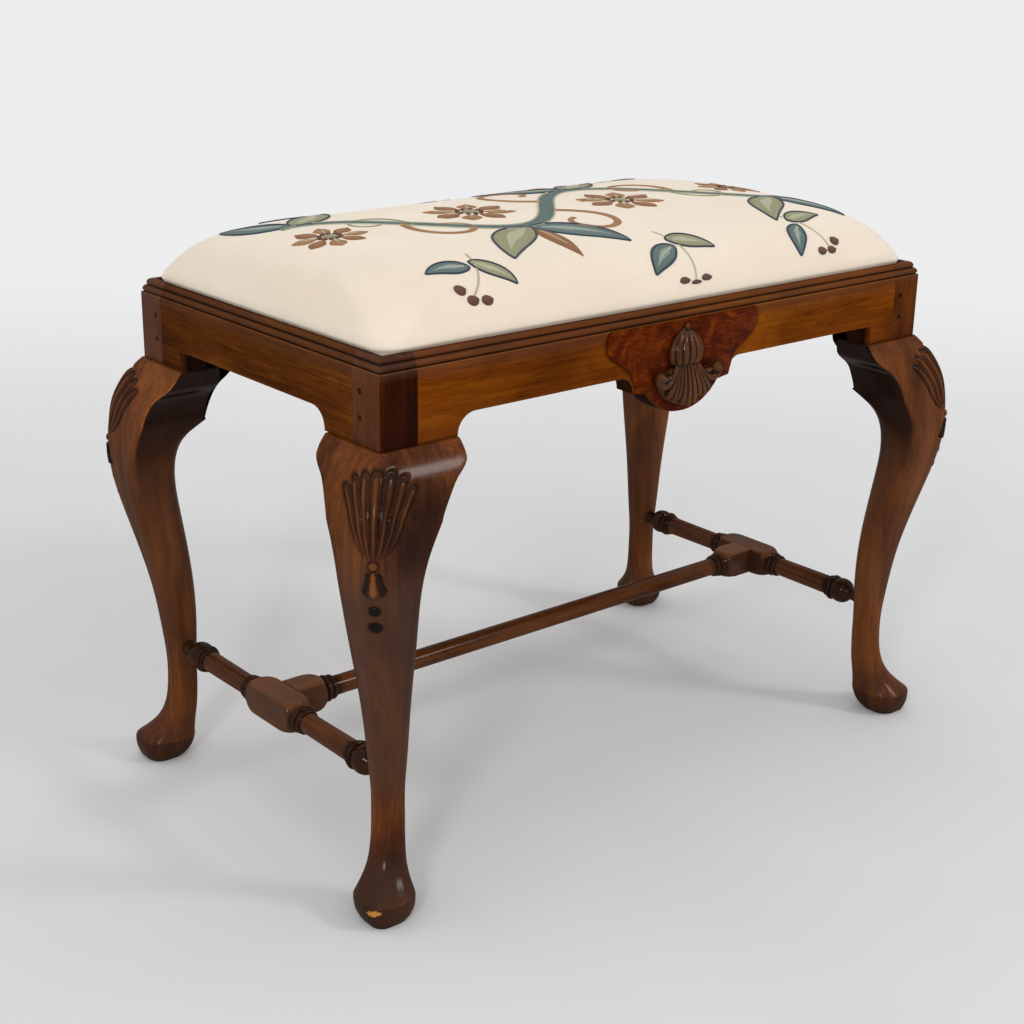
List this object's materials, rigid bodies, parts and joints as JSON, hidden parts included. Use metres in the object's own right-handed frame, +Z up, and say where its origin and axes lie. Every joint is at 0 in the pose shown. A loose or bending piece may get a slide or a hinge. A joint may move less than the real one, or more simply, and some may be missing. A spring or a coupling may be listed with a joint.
{
  "type": "upholstered bench",
  "caption": "Low bench with cabriole legs, carved knees and apron, a turned H-shaped stretcher and a drop-in upholstered seat that lifts out.",
  "frame": {"origin": "on the floor, under the middle of the frame", "axes": "+X along the length, -Y towards the front, +Z up"},
  "size_m": [0.6676, 0.4066, 0.5029],
  "materials": {
    "leg_wood": "satin shellac over dark red-brown walnut",
    "rail_wood": "satin shellac over amber-brown walnut",
    "burl_veneer": "satin shellac over figured walnut",
    "peg_wood": "dark end grain",
    "plain_wood": "bare secondary wood",
    "screw_steel": "dulled steel",
    "tack_steel": "blued steel",
    "webbing": "woven jute",
    "hessian": "coarse plain weave",
    "stuffing": "matted hair",
    "cover_cloth": "cream cloth with embroidery"
  },
  "bodies": {
    "frame": {"leg_front_left": "leg_wood", "leg_front_right": "leg_wood", "leg_back_left": "leg_wood", "leg_back_right": "leg_wood", "knee_block_front_left_long": "leg_wood", "knee_block_front_left_end": "leg_wood", "knee_block_front_right_long": "leg_wood", "knee_block_front_right_end": "leg_wood", "knee_block_back_left_long": "leg_wood", "knee_block_back_left_end": "leg_wood", "knee_block_back_right_long": "leg_wood", "knee_block_back_right_end": "leg_wood", "front_rail": "rail_wood", "back_rail": "rail_wood", "left_rail": "rail_wood", "right_rail": "rail_wood", "front_apron_plaque": "burl_veneer", "front_apron_shell": "leg_wood", "back_apron_plaque": "burl_veneer", "back_apron_shell": "leg_wood", "left_stretcher": "leg_wood", "right_stretcher": "leg_wood", "centre_stretcher": "leg_wood", "corner_block_front_left": "plain_wood", "corner_block_front_right": "plain_wood", "corner_block_back_left": "plain_wood", "corner_block_back_right": "plain_wood", "corner_block_screws": "screw_steel", "joint_pegs": "peg_wood"},
    "slip_seat": {"seat_frame_front": "plain_wood", "seat_frame_back": "plain_wood", "seat_frame_left": "plain_wood", "seat_frame_right": "plain_wood", "seat_webbing_long": "webbing", "seat_webbing_cross": "webbing", "seat_hessian": "hessian", "seat_stuffing": "stuffing", "seat_cover": "cover_cloth", "cover_tacks": "tack_steel"}
  },
  "joints": [
    {"name": "seat_lift", "type": "slide", "parent": "frame", "child": "slip_seat", "axis": [0, 0, 1], "range_m": [0, 0.15]}
  ]
}
